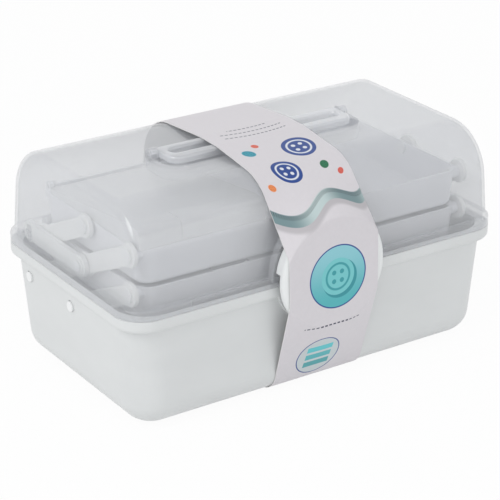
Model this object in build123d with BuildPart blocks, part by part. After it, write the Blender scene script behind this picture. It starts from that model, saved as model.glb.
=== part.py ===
"""Cantilever sewing box: tub, domed lid, two trays on swing arms, turn knob and card sleeve.

Units are millimetres. X runs along the box to the right, Y to the back, Z up.
The origin is the middle of the footprint, on the surface that the feet stand on.
"""
from build123d import *
from math import atan2, degrees, radians, tan
import os

os.makedirs("parts", exist_ok=True)

# Overall sizes
length = 270.0
depth = 159.0
lid_top = 138.6
rim_corner_radius = 19.0

# Base tub
foot_height = 1.0
foot_radius = 7.0
foot_inset = 38.0
tub_wall = 2.4
tub_top_inset = 3.0
tub_bottom_inset_x = 9.5
tub_bottom_inset_y = 7.0
tub_top_corner_radius = 23.0
tub_bottom_corner_radius = 18.0
tub_bottom_fillet = 16.0
rim_bottom = 67.3
rim_top = 75.4
rim_round = 2.8

# Lid
seam_gap = 0.2
lid_flange_height = 6.3
lid_flange_round = 1.5
lid_inset_x = 6.0
lid_inset_y = 4.5
lid_wall = 1.8
lid_draft = 3.0
lid_shoulder_radius = 31.0
lid_end_round = 5.5
rib_gap = 0.4
rib_wall = 1.6
rib_drop = 2.5
rib_grip = 3.0
front_rib_length = 180.0
end_rib_length = 90.0

# Lid hinge
hinge_gap = 0.4
hinge_z = 73.5
hinge_spacing = 160.0
hinge_pin_radius = 2.0
knuckle_radius = 4.5
base_knuckle_width = 12.0
lid_knuckle_width = 16.0
knuckle_gap = 0.4
running_clearance = 0.06

# Carry handle, its ears and the pocket that it folds into
handle_length = 133.0
handle_thickness = 5.4
handle_rear = 6.5
handle_slot = 7.7
handle_grip = 8.0
handle_axis_y = 3.4
handle_axis_z = 139.4
handle_side = 5.5
handle_front_corner = 8.0
handle_rear_corner = 4.0
handle_slot_corner = 3.0
handle_round = 1.8
handle_stub_radius = 2.0
pocket_depth = 8.0
pocket_draft = 12.0
pocket_front_room = 5.5
pocket_rear_room = 5.0
pocket_end_room = 5.0
pocket_corner_radius = 12.0
ear_thickness = 5.0
ear_radius = 3.8
ear_gap = 0.4

# Turn knob, the split pad that it grips and its screw
knob_z = 79.8
knob_radius = 37.0
knob_face_y = -88.0
knob_back_y = -84.2
knob_wall = 2.0
knob_round = 3.0
knob_plate = 1.2
cap_radius = 26.0
cap_gap = 0.3
cap_thickness = 1.0
cap_ledge = 3.0
skirt_back_y = -80.0
skirt_lip = 1.4
skirt_lip_radius = 32.0
skirt_rise = 5.0
lid_pad_radius = 39.0
base_pad_radius = 36.0
pad_neck_radius = 30.0
pad_flange_radius = 34.3
pad_flange_back_y = -82.0
pad_flange = 1.6
pad_wall = 2.0
base_pad_back_y = -74.7
lid_pad_back_y = -69.5
axle_radius = 3.6
axle_front_y = -85.5
axle_back_y = -76.0
screw_radius = 1.5
screw_length = 8.5
screw_head_radius = 3.6
screw_head = 0.8
washer_radius = 7.0
washer_thickness = 0.5

# Swing arms, in the plane between the tray ends and the tub wall
pivot_pitch = 51.0
pivot_rise = 24.5
rear_pivot_y = 48.0
base_pivot_z = 58.0
arm_thickness = 3.0
arm_width = 12.0
arm_eye_radius = 7.6
arm_round = 0.6
pivot_radius = 2.4
pivot_gap = 0.15
pivot_head_radius = 4.6
pivot_head = 1.2
middle_head_radius = 3.6
middle_head = 1.1
pivot_flat_head = 0.4
pivot_inner_head_radius = 3.5
pivot_inner_head = 1.0
head_round_share = 0.4
tub_boss_radius = 7.0
tray_boss = 1.05
tray_boss_edge = 0.3
rear_boss_depth = 4.0
middle_boss_depth = 2.4
front_boss_depth = 5.0
dome_radius = 3.2
dome_seat = 0.4
dome_height = 1.6
dome_round = 0.9

# Lid links, outside the arms: each is pulled by a stub on the lid's end and turns on the middle pin
link_stub_y = 60.0
link_stub_z = 80.0
link_stub_radius = 1.8
link_stub_boss_radius = 4.0
link_stub_root = 1.2
link_length = 62.4
link_thickness = 2.8
link_gap = 0.1
link_eye_radius = 7.0
link_collar_radius = 5.2
link_collar = 0.85
link_hole_length = 5.7
link_hole_height = 9.2
link_hole_corner = 2.0

# Trays
tray_end_room = 18.0
tray_depth = 118.0
tray_centre_y = -2.0
tray_height = 24.0
tray_wall = 1.6
tray_draft_inset = 2.5
tray_corner_radius = 12.0
tray_bottom_fillet = 4.0
lower_tray_rim = 86.5
divider_thickness = 1.6
divider_clearance = 0.3
divider_drop = 1.5
divider_chamfer = 3.0
lower_divider_x = 40.0
upper_divider_x = 42.0
guide_width = 1.4
guide_depth = 1.8

# Flip cover over the left section of the upper tray
partition_x = -32.0
cover_wall = 1.4
cover_front_height = 12.6
cover_rear_height = 3.4
cover_flat = 14.0
cover_front_round = 4.5
cover_seat_gap = 0.2
cover_rear_y = 44.0
cover_axis_y = 48.0
cover_axis_rise = 3.3
cover_eye_radius = 3.0
cover_lug_radius = 2.6
cover_eye_width = 2.5
cover_eye_gap = 0.3
cover_eye_drop = 5.0
cover_eye_inset = 0.6
cover_stub_radius = 1.5
strap_from_end = 33.0
strap_width = 10.0
strap_drop = 10.5
strap_overlap = 0.7
strap_lift = 0.8

# Card sleeve
sleeve_half_width = 32.0
card_thickness = 0.6
card_gap = 0.4
card_bottom_gap = 0.2

# Places worked out from the sizes above
half_length = length / 2
half_depth = depth / 2
lid_bottom = rim_top + seam_gap
lid_flange_top = lid_bottom + lid_flange_height
hinge_y = half_depth + knuckle_radius + hinge_gap
pad_front_y = pad_flange_back_y - pad_flange
tray_half_length = half_length - tray_end_room
strap_x = strap_from_end - tray_half_length
arm_inner_x = tray_half_length + tray_boss + pivot_gap
arm_outer_x = arm_inner_x + arm_thickness
link_inner_x = arm_outer_x + pivot_gap + pivot_flat_head + link_gap
link_outer_x = link_inner_x + link_thickness
link_collar_x = link_outer_x + link_collar
lid_end_x = half_length - lid_inset_x - lid_wall
arm_angle = degrees(atan2(pivot_rise, -pivot_pitch))
arm_pitch = (pivot_pitch ** 2 + pivot_rise ** 2) ** 0.5
upper_tray_rim = lower_tray_rim + pivot_rise
tray_front_y = tray_centre_y - tray_depth / 2
lower_pivot_z = base_pivot_z + pivot_rise
upper_pivot_z = base_pivot_z + 2 * pivot_rise
middle_pivot_y = rear_pivot_y - pivot_pitch
front_pivot_y = rear_pivot_y - 2 * pivot_pitch
tray_pivot_drop = lower_tray_rim - lower_pivot_z
tray_boss_radius = tray_pivot_drop - tray_boss_edge
tray_boss_start = {rear_pivot_y: tray_half_length - rear_boss_depth,
                   middle_pivot_y: tray_half_length - middle_boss_depth,
                   front_pivot_y: tray_half_length - front_boss_depth}
handle_rear_y = handle_axis_y + handle_rear / 2
handle_depth = handle_grip + handle_slot + handle_rear
handle_front_y = handle_rear_y - handle_depth
ear_x = handle_length / 2 + ear_gap
base_knuckle_x = lid_knuckle_width / 2 + knuckle_gap
hinge_reach = base_knuckle_x + base_knuckle_width
sides = {"left": -1, "right": 1}


def export(piece, name):
    """Labels a finished sub-part and writes its STEP file."""
    piece.label = name
    export_step(piece, f"parts/{name}.step")
    print(f"{name:24s} solids {len(piece.solids())}  volume {piece.volume / 1000:8.2f} cm3")


def between(side, near, far):
    """Start and end along X of a piece that lies between two distances from the middle."""
    return (near, far) if side > 0 else (-far, -near)


def rod_x(x_from, x_to, radius, y, z):
    """Round piece that lies along X."""
    with BuildPart() as piece:
        with BuildSketch(Plane.YZ.offset(x_from)):
            with Locations((y, z)):
                Circle(radius)
        extrude(amount=x_to - x_from)
    return piece.part


def rod_y(y_front, y_back, radius):
    """Round piece that lies along Y on the knob's axis."""
    with BuildPart() as piece:
        with BuildSketch(Plane.XZ.offset(-y_back)):
            with Locations((0, knob_z)):
                Circle(radius)
        extrude(amount=y_back - y_front)
    return piece.part


def half_rod_y(y_front, y_back, radius, z_limit, keep):
    """Round piece on the knob's axis, cut off flat at a height."""
    with BuildPart() as piece:
        add(rod_y(y_front, y_back, radius))
        split(bisect_by=Plane.XY.offset(z_limit), keep=keep)
    return piece.part


def tub_block(inset, bottom, fillet_radius):
    """Drafted block with the tub's plan, for its outside and for its cavity."""
    rise = (bottom - foot_height) / (rim_bottom - foot_height)
    inset_x = tub_bottom_inset_x + (tub_top_inset - tub_bottom_inset_x) * rise + inset
    inset_y = tub_bottom_inset_y + (tub_top_inset - tub_bottom_inset_y) * rise + inset
    with BuildPart() as block:
        with BuildSketch(Plane.XY.offset(bottom)):
            RectangleRounded(length - 2 * inset_x, depth - 2 * inset_y, tub_bottom_corner_radius - inset)
        with BuildSketch(Plane.XY.offset(rim_bottom)):
            RectangleRounded(length - 2 * (tub_top_inset + inset), depth - 2 * (tub_top_inset + inset),
                             tub_top_corner_radius - inset)
        loft(ruled=True)
        fillet(block.faces().sort_by(Axis.Z)[0].edges(), radius=fillet_radius)
    return block.part


def plan_block(inset, bottom, top, corner_radius):
    """Upright block that follows the plan of the rim."""
    with BuildPart() as block:
        with BuildSketch(Plane.XY.offset(bottom)):
            RectangleRounded(length - 2 * inset, depth - 2 * inset, corner_radius)
        extrude(amount=top - bottom)
    return block.part


def knuckle(x_from, width, web_bottom, web_top):
    """Hinge knuckle with the web that joins it to the rim or to the lid's flange."""
    with BuildPart() as piece:
        with BuildSketch(Plane.YZ.offset(x_from)):
            with Locations((hinge_y, hinge_z)):
                Circle(knuckle_radius)
            with Locations((half_depth - 1, web_bottom)):
                Rectangle(hinge_y - half_depth + 1, web_top - web_bottom, align=(Align.MIN, Align.MIN))
        extrude(amount=width)
    return piece.part


def latch_pad(pad_radius, pad_back_y, z_limit, keep):
    """Half of the round pad that the knob grips: pad, neck and flange."""
    with BuildPart() as pad:
        add(half_rod_y(-half_depth, pad_back_y, pad_radius, z_limit, keep))
        add(half_rod_y(pad_flange_back_y, -half_depth, pad_neck_radius, z_limit, keep))
        add(half_rod_y(pad_front_y, pad_flange_back_y, pad_flange_radius, z_limit, keep))
    return pad.part


# Base tub: drafted walls, thick rim, feet, latch pad, hinge knuckles and bosses for the arm pivots
tub_lean = (tub_bottom_inset_x - tub_top_inset) / (rim_bottom - foot_height)
tub_pivot_x = half_length - tub_top_inset - tub_lean * (rim_bottom - base_pivot_z)
dome_seat_x = tub_pivot_x - dome_seat

with BuildPart() as rim_band:
    add(plan_block(0, rim_bottom, rim_top, rim_corner_radius))
    fillet(rim_band.faces().sort_by(Axis.Z)[0].edges(), radius=rim_round)

with BuildPart() as base_tub:
    add(tub_block(0, foot_height, tub_bottom_fillet))
    add(rim_band.part)
    add(latch_pad(base_pad_radius, base_pad_back_y, rim_top, Keep.BOTTOM))
    add(tub_block(tub_wall, foot_height + tub_wall, tub_bottom_fillet - tub_wall), mode=Mode.SUBTRACT)
    add(plan_block(tub_top_inset + tub_wall, rim_bottom, rim_top, tub_top_corner_radius - tub_wall),
        mode=Mode.SUBTRACT)
    add(half_rod_y(pad_flange_back_y, base_pad_back_y + 2 * tub_wall, pad_neck_radius - pad_wall,
                   rim_bottom, Keep.BOTTOM), mode=Mode.SUBTRACT)
    with BuildSketch(Plane.XY):
        with GridLocations(length - 2 * foot_inset, depth - 2 * foot_inset, 2, 2):
            Circle(foot_radius)
    extrude(amount=foot_height + tub_wall / 2)
    for side in sides.values():
        centre = side * hinge_spacing / 2
        for start in (centre + base_knuckle_x, centre - hinge_reach):
            add(knuckle(start, base_knuckle_width, hinge_z - knuckle_radius, rim_top - 1))
        add(rod_x(centre - hinge_reach, centre + hinge_reach, hinge_pin_radius, hinge_y, hinge_z),
            mode=Mode.SUBTRACT)
        for y in (rear_pivot_y, middle_pivot_y):
            boss = between(side, arm_outer_x + pivot_gap, tub_pivot_x - tub_wall / 2)
            add(rod_x(*boss, tub_boss_radius, y, base_pivot_z))
            bore = between(side, arm_outer_x, half_length)
            add(rod_x(*bore, pivot_radius, y, base_pivot_z), mode=Mode.SUBTRACT)
            seat = between(side, dome_seat_x, half_length)
            add(rod_x(*seat, dome_radius + card_gap, y, base_pivot_z), mode=Mode.SUBTRACT)

export(base_tub.part, "base_tub")

# Hinge pins of the lid, pressed into the tub's knuckles
for name, side in sides.items():
    centre = side * hinge_spacing / 2
    pin = rod_x(centre - hinge_reach, centre + hinge_reach, hinge_pin_radius, hinge_y, hinge_z)
    export(pin, f"lid_hinge_pin_{name}")


# Lid: domed cover with a flange, locating ribs, a pocket for the handle and half of the latch pad
def lid_block(inset, bottom, end_round):
    """Domed block: an end profile with round shoulders, between two drafted ends."""
    lean = tan(radians(lid_draft))
    low_y = half_depth - lid_inset_y - inset - (bottom - lid_flange_top) * lean
    low_x = half_length - lid_inset_x - inset - (bottom - lid_flange_top) * lean
    top = lid_top - inset
    rise = (top - bottom) * lean
    with BuildPart() as block:
        with BuildSketch(Plane.YZ):
            with BuildLine():
                FilletPolyline((-low_y, bottom), (rise - low_y, top), (low_y - rise, top), (low_y, bottom),
                               radius=lid_shoulder_radius - inset)
                Line((low_y, bottom), (-low_y, bottom))
            make_face()
        extrude(amount=half_length, both=True)
        with BuildSketch(Plane.XZ):
            with BuildLine():
                Polyline((-low_x, bottom), (rise - low_x, top), (low_x - rise, top), (low_x, bottom), close=True)
            make_face()
        extrude(amount=half_depth, both=True, mode=Mode.INTERSECT)
        ends = block.faces().sort_by(Axis.X)
        rims = [edge for face in (ends[0], ends[-1]) for edge in face.edges() if edge.center().Z > bottom + 0.1]
        fillet(rims, radius=end_round)
    return block.part


def pocket_block(grow):
    """Tapered sink for the folded handle, grown by the wall for the inside of the lid."""
    front = handle_front_y - pocket_front_room - grow
    back = handle_rear_y + pocket_rear_room + grow
    end = handle_length / 2 + pocket_end_room + grow
    with BuildPart() as block:
        with BuildSketch(Plane.XY.offset(lid_top)):
            with Locations((0, (front + back) / 2)):
                RectangleRounded(2 * end, back - front, pocket_corner_radius + grow)
        extrude(amount=-pocket_depth - grow, taper=pocket_draft)
    return block.part


def handle_ear(side):
    """Upright ear with a round top that carries one end of the handle."""
    near, far = between(side, ear_x, ear_x + ear_thickness)
    foot_z = lid_top - pocket_depth - lid_wall / 2
    with BuildPart() as ear:
        with BuildSketch(Plane.YZ.offset(near)):
            with Locations((handle_axis_y, handle_axis_z)):
                Circle(ear_radius)
            with Locations((handle_axis_y, foot_z)):
                Rectangle(2 * ear_radius, handle_axis_z - foot_z, align=(Align.CENTER, Align.MIN))
        extrude(amount=far - near)
    return ear.part


with BuildPart() as lid_flange:
    add(plan_block(0, lid_bottom, lid_flange_top, rim_corner_radius))
    fillet(lid_flange.faces().sort_by(Axis.Z)[-1].edges(), radius=lid_flange_round)

with BuildPart() as lid_shell:
    add(lid_block(0, lid_flange_top, lid_end_round))
    add(lid_flange.part)
    add(latch_pad(lid_pad_radius, lid_pad_back_y, lid_bottom, Keep.TOP))
    add(lid_block(lid_wall, lid_bottom - 1, lid_end_round - lid_wall), mode=Mode.SUBTRACT)
    hollow_back_y = lid_pad_back_y + 2 * lid_pad_radius / 10
    add(half_rod_y(-half_depth + pad_wall, hollow_back_y, lid_pad_radius - pad_wall, lid_bottom + pad_wall,
                   Keep.TOP), mode=Mode.SUBTRACT)
    add(half_rod_y(pad_flange_back_y, hollow_back_y, pad_neck_radius - pad_wall, lid_bottom + pad_wall,
                   Keep.TOP), mode=Mode.SUBTRACT)
    add(rod_y(axle_front_y, axle_back_y, axle_radius))
    add(rod_y(axle_front_y, axle_front_y + screw_length, screw_radius), mode=Mode.SUBTRACT)
    rib_inset = tub_top_inset + tub_wall + rib_gap
    with BuildSketch(Plane.XY.offset(lid_bottom - rib_drop)):
        with Locations((0, rib_inset - half_depth)):
            Rectangle(front_rib_length, rib_wall, align=(Align.CENTER, Align.MIN))
    extrude(amount=rib_drop + rib_grip)
    with BuildSketch(Plane.XY.offset(lid_bottom - rib_drop)):
        with GridLocations(length - 2 * rib_inset - rib_wall, 0, 2, 1):
            Rectangle(rib_wall, end_rib_length)
    extrude(amount=rib_drop + rib_grip)
    add(pocket_block(lid_wall))
    add(pocket_block(0), mode=Mode.SUBTRACT)
    for side in sides.values():
        start = side * hinge_spacing / 2 - lid_knuckle_width / 2
        add(knuckle(start, lid_knuckle_width, lid_bottom, hinge_z + knuckle_radius))
        add(rod_x(start, start + lid_knuckle_width, hinge_pin_radius + running_clearance, hinge_y, hinge_z),
            mode=Mode.SUBTRACT)
        stub = between(side, link_inner_x + link_gap, lid_end_x + link_stub_root)
        add(rod_x(*stub, link_stub_radius, link_stub_y, link_stub_z))
        boss = between(side, link_outer_x + pivot_gap, lid_end_x + link_stub_root)
        add(rod_x(*boss, link_stub_boss_radius, link_stub_y, link_stub_z))
        add(handle_ear(side))
        bore = between(side, ear_x, ear_x + ear_thickness)
        add(rod_x(*bore, handle_stub_radius + running_clearance, handle_axis_y, handle_axis_z),
            mode=Mode.SUBTRACT)

export(lid_shell.part, "lid_shell")

# Carry handle: a flat closed loop that turns on two stubs in the lid's ears
with BuildPart() as carry_handle:
    with BuildSketch(Plane.XY.offset(handle_axis_z - handle_thickness / 2)) as loop:
        with Locations((0, handle_front_y)):
            Rectangle(handle_length, handle_depth, align=(Align.CENTER, Align.MIN))
        rows = loop.vertices().group_by(Axis.Y)
        fillet(rows[0], radius=handle_front_corner)
        rows = loop.vertices().group_by(Axis.Y)
        fillet(rows[-1], radius=handle_rear_corner)
        with Locations((0, handle_front_y + handle_grip + handle_slot / 2)):
            RectangleRounded(handle_length - 2 * handle_side, handle_slot, handle_slot_corner,
                             mode=Mode.SUBTRACT)
    extrude(amount=handle_thickness)
    fillet(carry_handle.edges().filter_by(GeomType.LINE, reverse=True)
           + carry_handle.edges().filter_by(Axis.X) + carry_handle.edges().filter_by(Axis.Y),
           radius=handle_round)
    for side in sides.values():
        stub = between(side, handle_length / 2 - handle_side, ear_x + ear_thickness - ear_gap)
        add(rod_x(*stub, handle_stub_radius, handle_axis_y, handle_axis_z))

export(carry_handle.part, "carry_handle")

# Turn knob: a dial with a half skirt that hooks behind the pad's flange
with BuildPart() as skirt:
    add(rod_y(knob_back_y, skirt_back_y, knob_radius))
    add(rod_y(knob_back_y, skirt_back_y - skirt_lip, knob_radius - knob_wall), mode=Mode.SUBTRACT)
    add(rod_y(skirt_back_y - skirt_lip, skirt_back_y, skirt_lip_radius), mode=Mode.SUBTRACT)
    split(bisect_by=Plane.XY.offset(knob_z + skirt_rise), keep=Keep.TOP)

with BuildPart() as latch_dial:
    add(rod_y(knob_face_y, knob_back_y, knob_radius))
    fillet(latch_dial.faces().sort_by(Axis.Y)[0].edges(), radius=knob_round)
    add(rod_y(knob_face_y, knob_face_y + cap_thickness, cap_radius + cap_gap), mode=Mode.SUBTRACT)
    add(rod_y(knob_face_y + cap_thickness, knob_back_y - knob_plate, cap_radius - cap_ledge),
        mode=Mode.SUBTRACT)
    add(rod_y(knob_face_y, knob_back_y, axle_radius + running_clearance), mode=Mode.SUBTRACT)
    add(skirt.part)

export(latch_dial.part, "latch_dial")

with BuildPart() as latch_cap:
    add(rod_y(knob_face_y, knob_face_y + cap_thickness, cap_radius))
    fillet(latch_cap.faces().sort_by(Axis.Y)[0].edges(), radius=cap_thickness / 2)

export(latch_cap.part, "latch_cap")

# Screw and washer that hold the dial on the lid's axle
washer_front_y = axle_front_y - washer_thickness

with BuildPart() as latch_washer:
    add(rod_y(washer_front_y, axle_front_y, washer_radius))
    add(rod_y(washer_front_y, axle_front_y, screw_radius + running_clearance), mode=Mode.SUBTRACT)

export(latch_washer.part, "latch_washer")

with BuildPart() as latch_screw:
    add(rod_y(washer_front_y - screw_head, washer_front_y, screw_head_radius))
    fillet(latch_screw.faces().sort_by(Axis.Y)[0].edges(), radius=screw_head / 2)
    add(rod_y(washer_front_y, axle_front_y + screw_length, screw_radius))

export(latch_screw.part, "latch_screw")


# Swing arms: two parallelograms on each side that share the long arm
def swing_arm(side, places):
    """Flat bar with an eye and a running bore at each pivot."""
    near, far = between(side, arm_inner_x, arm_outer_x)
    middle_y = (places[0][0] + places[-1][0]) / 2
    middle_z = (places[0][1] + places[-1][1]) / 2
    with BuildPart() as arm:
        with BuildSketch(Plane.YZ.offset(near)):
            with Locations(*places):
                Circle(arm_eye_radius)
            with Locations((middle_y, middle_z)):
                Rectangle(arm_pitch * (len(places) - 1), arm_width, rotation=arm_angle)
        extrude(amount=far - near)
        fillet(arm.faces().sort_by(Axis.X)[0].edges() + arm.faces().sort_by(Axis.X)[-1].edges(),
               radius=arm_round)
        for y, z in places:
            add(rod_x(near, far, pivot_radius + running_clearance, y, z), mode=Mode.SUBTRACT)
    return arm.part


for name, side in sides.items():
    long_arm = swing_arm(side, [(rear_pivot_y, base_pivot_z), (middle_pivot_y, lower_pivot_z),
                                (front_pivot_y, upper_pivot_z)])
    export(long_arm, f"long_arm_{name}")
    front_arm = swing_arm(side, [(middle_pivot_y, base_pivot_z), (front_pivot_y, lower_pivot_z)])
    export(front_arm, f"front_arm_{name}")
    rear_arm = swing_arm(side, [(rear_pivot_y, lower_pivot_z), (middle_pivot_y, upper_pivot_z)])
    export(rear_arm, f"rear_arm_{name}")


# Lid links: level bars that pull the middle pins back and up as the lid opens
def lid_link(side):
    """Flat bar with a bored collar at the middle pin and an upright oblong hole for the lid's stub."""
    near, far = between(side, link_inner_x, link_outer_x)
    hole_y = middle_pivot_y + link_length
    with BuildPart() as link:
        with BuildSketch(Plane.YZ.offset(near)):
            with Locations((middle_pivot_y, lower_pivot_z), (hole_y, lower_pivot_z)):
                Circle(link_eye_radius)
            with Locations(((middle_pivot_y + hole_y) / 2, lower_pivot_z)):
                Rectangle(link_length, arm_width)
            with Locations((hole_y, lower_pivot_z)):
                RectangleRounded(link_hole_length, link_hole_height, link_hole_corner, mode=Mode.SUBTRACT)
        extrude(amount=far - near)
        collar = between(side, link_inner_x, link_collar_x)
        add(rod_x(*collar, link_collar_radius, middle_pivot_y, lower_pivot_z))
        add(rod_x(*collar, pivot_radius + running_clearance, middle_pivot_y, lower_pivot_z),
            mode=Mode.SUBTRACT)
    return link.part


for name, side in sides.items():
    export(lid_link(side), f"lid_link_{name}")


# Pivot pins: those of the tub show a dome outside, those of the trays a flat head
def headed_pin(side, y, z, inner, seat, outer, inner_radius, outer_radius, outer_height, edge_round):
    """Pin with a head at each end; inner, seat and outer are distances from the middle of the box."""
    with BuildPart() as pin:
        add(rod_x(*between(side, outer, outer + outer_height), outer_radius, y, z))
        tip = pin.faces().sort_by(Axis.X)[-1 if side > 0 else 0]
        fillet(tip.edges(), radius=edge_round)
        add(rod_x(*between(side, seat, outer), pivot_radius, y, z))
        add(rod_x(*between(side, inner, seat), inner_radius, y, z))
    return pin.part


def tray_pin(side, y, z, last_x, outer_radius, outer_height):
    """Pin of a tray, from its inner head inside the tray to its outer head past the last bar."""
    seat = tray_boss_start[y]
    return headed_pin(side, y, z, seat - pivot_inner_head, seat, last_x + pivot_gap,
                      pivot_inner_head_radius, outer_radius, outer_height, head_round_share * outer_height)


with BuildPart() as base_pivot_pins:
    for side in sides.values():
        for y in (rear_pivot_y, middle_pivot_y):
            add(headed_pin(side, y, base_pivot_z, tray_half_length, arm_inner_x - pivot_gap, dome_seat_x,
                           pivot_head_radius, dome_radius, dome_height, dome_round))

export(base_pivot_pins.part, "base_pivot_pins")

with BuildPart() as lower_tray_pins:
    for side in sides.values():
        add(tray_pin(side, rear_pivot_y, lower_pivot_z, arm_outer_x, pivot_head_radius, pivot_flat_head))
        add(tray_pin(side, middle_pivot_y, lower_pivot_z, link_collar_x, middle_head_radius, middle_head))
        add(tray_pin(side, front_pivot_y, lower_pivot_z, arm_outer_x, pivot_head_radius, pivot_head))

export(lower_tray_pins.part, "lower_tray_pins")

with BuildPart() as upper_tray_pins:
    for side in sides.values():
        for y in (middle_pivot_y, front_pivot_y):
            add(tray_pin(side, y, upper_pivot_z, arm_outer_x, pivot_head_radius, pivot_head))

export(upper_tray_pins.part, "upper_tray_pins")


# Trays
def tray_block(rim, inset, fillet_radius):
    """Drafted block with a tray's plan, for its outside and for its hollow."""
    bottom = rim - tray_height + inset
    lean = tray_draft_inset * (rim - bottom) / tray_height
    low = inset + lean
    with BuildPart() as block:
        with BuildSketch(Plane.XY.offset(bottom)):
            with Locations((0, tray_centre_y)):
                RectangleRounded(2 * (tray_half_length - low), tray_depth - 2 * low, tray_corner_radius - low)
        with BuildSketch(Plane.XY.offset(rim)):
            with Locations((0, tray_centre_y)):
                RectangleRounded(2 * (tray_half_length - inset), tray_depth - 2 * inset,
                                 tray_corner_radius - inset)
        loft(ruled=True)
        fillet(block.faces().sort_by(Axis.Z)[0].edges(), radius=fillet_radius)
    return block.part


def wall_line(rim, z, inset):
    """Half depth of the tray's hollow at a height, less an inset."""
    return tray_depth / 2 - tray_wall - inset - tray_draft_inset * (rim - z) / tray_height


def divider_guides(rim, x):
    """Two pairs of upright ribs, on the front and the rear wall, that hold a loose divider."""
    floor = rim - tray_height + tray_wall
    top = rim - divider_drop
    pitch = divider_thickness + 2 * divider_clearance + guide_width
    with BuildPart() as guides:
        for place in (x - pitch / 2, x + pitch / 2):
            for way in (-1, 1):
                with BuildSketch(Plane.YZ.offset(place - guide_width / 2)):
                    with Locations((tray_centre_y, 0)):
                        with BuildLine():
                            Polyline((way * wall_line(rim, top, guide_depth), top),
                                     (way * tray_depth / 2, top),
                                     (way * tray_depth / 2, floor - tray_wall / 2),
                                     (way * wall_line(rim, floor, guide_depth), floor - tray_wall / 2),
                                     close=True)
                        make_face()
                extrude(amount=guide_width)
        add(tray_block(rim, 0, tray_bottom_fillet), mode=Mode.INTERSECT)
    return guides.part


def open_tray(rim, pivots, divider_places):
    """Tray with its guides and with a bored boss at each pivot."""
    with BuildPart() as tray:
        add(tray_block(rim, 0, tray_bottom_fillet))
        add(tray_block(rim, tray_wall, tray_bottom_fillet - tray_wall), mode=Mode.SUBTRACT)
        for x in divider_places:
            add(divider_guides(rim, x))
        for side in sides.values():
            for y in pivots:
                seat = tray_boss_start[y]
                z = rim - tray_pivot_drop
                boss = between(side, seat, tray_half_length + tray_boss)
                add(rod_x(*boss, tray_boss_radius, y, z))
                add(rod_x(*boss, pivot_radius, y, z), mode=Mode.SUBTRACT)
                add(rod_x(*between(side, seat - tray_corner_radius, seat), pivot_inner_head_radius, y, z),
                    mode=Mode.SUBTRACT)
    return tray.part


def divider(rim, x):
    """Loose plate that stands on the tray's floor between two pairs of guides."""
    floor = rim - tray_height + tray_wall
    top = rim - divider_drop
    with BuildPart() as plate:
        with BuildSketch(Plane.YZ.offset(x - divider_thickness / 2)):
            with BuildLine():
                Polyline((tray_centre_y - wall_line(rim, top, divider_clearance), top),
                         (tray_centre_y + wall_line(rim, top, divider_clearance), top),
                         (tray_centre_y + wall_line(rim, floor + divider_chamfer, divider_clearance),
                          floor + divider_chamfer),
                         (tray_centre_y + wall_line(rim, floor, divider_clearance) - divider_chamfer, floor),
                         (tray_centre_y - wall_line(rim, floor, divider_clearance) + divider_chamfer, floor),
                         (tray_centre_y - wall_line(rim, floor + divider_chamfer, divider_clearance),
                          floor + divider_chamfer),
                         close=True)
            make_face()
        extrude(amount=divider_thickness)
    return plate.part


lower_tray = open_tray(lower_tray_rim, (rear_pivot_y, middle_pivot_y, front_pivot_y),
                       (-lower_divider_x, lower_divider_x))
export(lower_tray, "lower_tray")
for name, side in sides.items():
    export(divider(lower_tray_rim, side * lower_divider_x), f"lower_divider_{name}")

# Upper tray: it also has a moulded partition and the two eyes of the flip cover
cover_axis_z = upper_tray_rim + cover_axis_rise
eye_starts = (-tray_half_length + cover_eye_inset, partition_x - cover_eye_width / 2)

with BuildPart() as partition:
    with BuildSketch(Plane.XY.offset(upper_tray_rim - tray_height + tray_wall / 2)):
        with Locations((partition_x, tray_centre_y)):
            Rectangle(divider_thickness, tray_depth - tray_wall)
    extrude(amount=tray_height - tray_wall / 2)
    add(tray_block(upper_tray_rim, tray_wall / 2, tray_bottom_fillet - tray_wall / 2), mode=Mode.INTERSECT)

with BuildPart() as upper_tray:
    add(open_tray(upper_tray_rim, (middle_pivot_y, front_pivot_y), (upper_divider_x,)))
    add(partition.part)
    for start in eye_starts:
        with BuildSketch(Plane.YZ.offset(start)):
            with Locations((cover_axis_y, cover_axis_z)):
                Circle(cover_eye_radius)
            with Locations((cover_axis_y, cover_axis_z)):
                Rectangle(2 * cover_eye_radius, cover_axis_rise + cover_eye_drop,
                          align=(Align.CENTER, Align.MAX))
        extrude(amount=cover_eye_width)
        add(rod_x(start, start + cover_eye_width, cover_stub_radius + running_clearance, cover_axis_y,
                  cover_axis_z), mode=Mode.SUBTRACT)

export(upper_tray.part, "upper_tray")
export(divider(upper_tray_rim, upper_divider_x), "upper_divider")

# Flip cover of the left section: high at the front, falling to the rear, with a finger strap
cover_seat_z = upper_tray_rim + cover_seat_gap
cover_top_z = upper_tray_rim + cover_front_height
cover_left_x = -tray_half_length
cover_right_x = partition_x + divider_thickness / 2


def cover_block(inset, drop, front_round):
    """End profile of the cover, run along it."""
    rear_z = upper_tray_rim + cover_rear_height - inset
    top_z = cover_top_z - inset
    front_y = tray_front_y + inset
    rear_y = cover_rear_y - inset
    with BuildPart() as block:
        with BuildSketch(Plane.YZ.offset(cover_left_x + inset)):
            with BuildLine():
                Polyline((front_y, cover_seat_z - drop), (front_y, top_z), (tray_front_y + cover_flat, top_z),
                         (rear_y, rear_z), (rear_y, cover_seat_z - drop), close=True)
            make_face()
        extrude(amount=cover_right_x - cover_left_x - 2 * inset)
        nose = block.edges().filter_by(Axis.X).group_by(Axis.Z)[-1].sort_by(Axis.Y)[0]
        fillet(nose, radius=front_round)
    return block.part


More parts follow.
